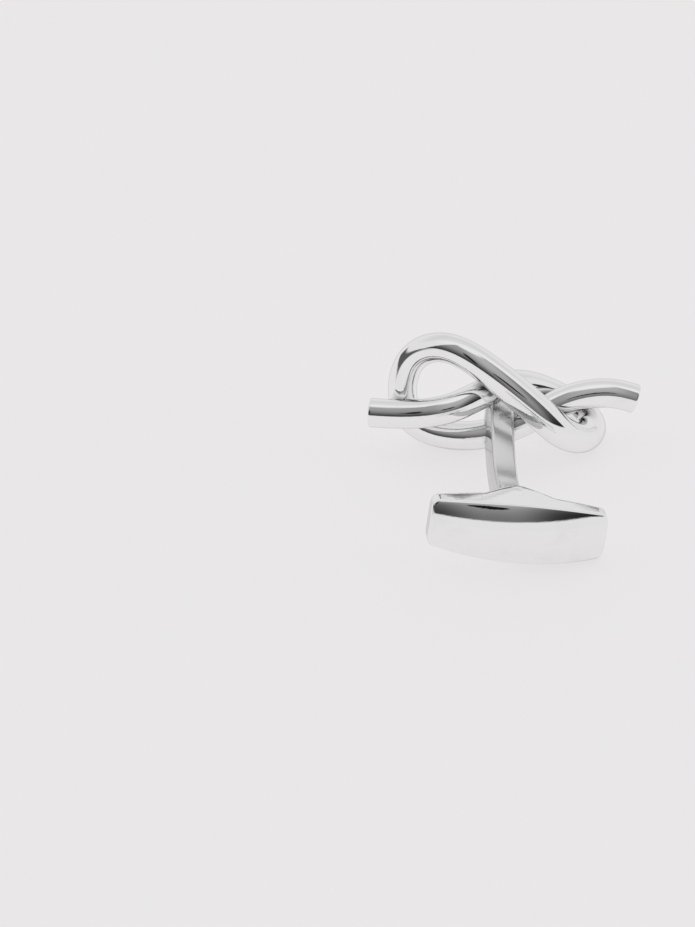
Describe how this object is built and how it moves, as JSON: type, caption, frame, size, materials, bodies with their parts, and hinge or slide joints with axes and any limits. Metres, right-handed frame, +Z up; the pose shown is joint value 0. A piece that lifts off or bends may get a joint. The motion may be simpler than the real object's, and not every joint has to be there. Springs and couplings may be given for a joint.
{
  "type": "cufflink",
  "caption": "Cufflink with a wire tied in a loose overhand knot, a curved post behind it and a bar that swivels on a riveted pin.",
  "frame": {"origin": "centre of the bounding box in X and Y, on the table that the part rests on", "axes": "+Z up from the table, +X along the bar to its right end as seen from the bar's side, +Y from the bar to the knot"},
  "size_m": [0.0276, 0.0268, 0.0121],
  "materials": {
    "polished_silver": "mirror-polished sterling silver",
    "pin_silver": "polished silver, riveted ends",
    "spring_steel": "bright spring steel"
  },
  "bodies": {
    "front": {"knot": "polished_silver", "post": "polished_silver"},
    "toggle": {"bar": "polished_silver", "hinge_pin": "pin_silver", "leaf_spring": "spring_steel"}
  },
  "joints": [
    {"name": "bar_swivel", "type": "hinge", "parent": "front", "child": "toggle", "pos_m": [-0.00081, -0.00839, 0.00336], "axis": [0.1645, 0.221, 0.9613], "range_deg": [-90, 90]}
  ]
}
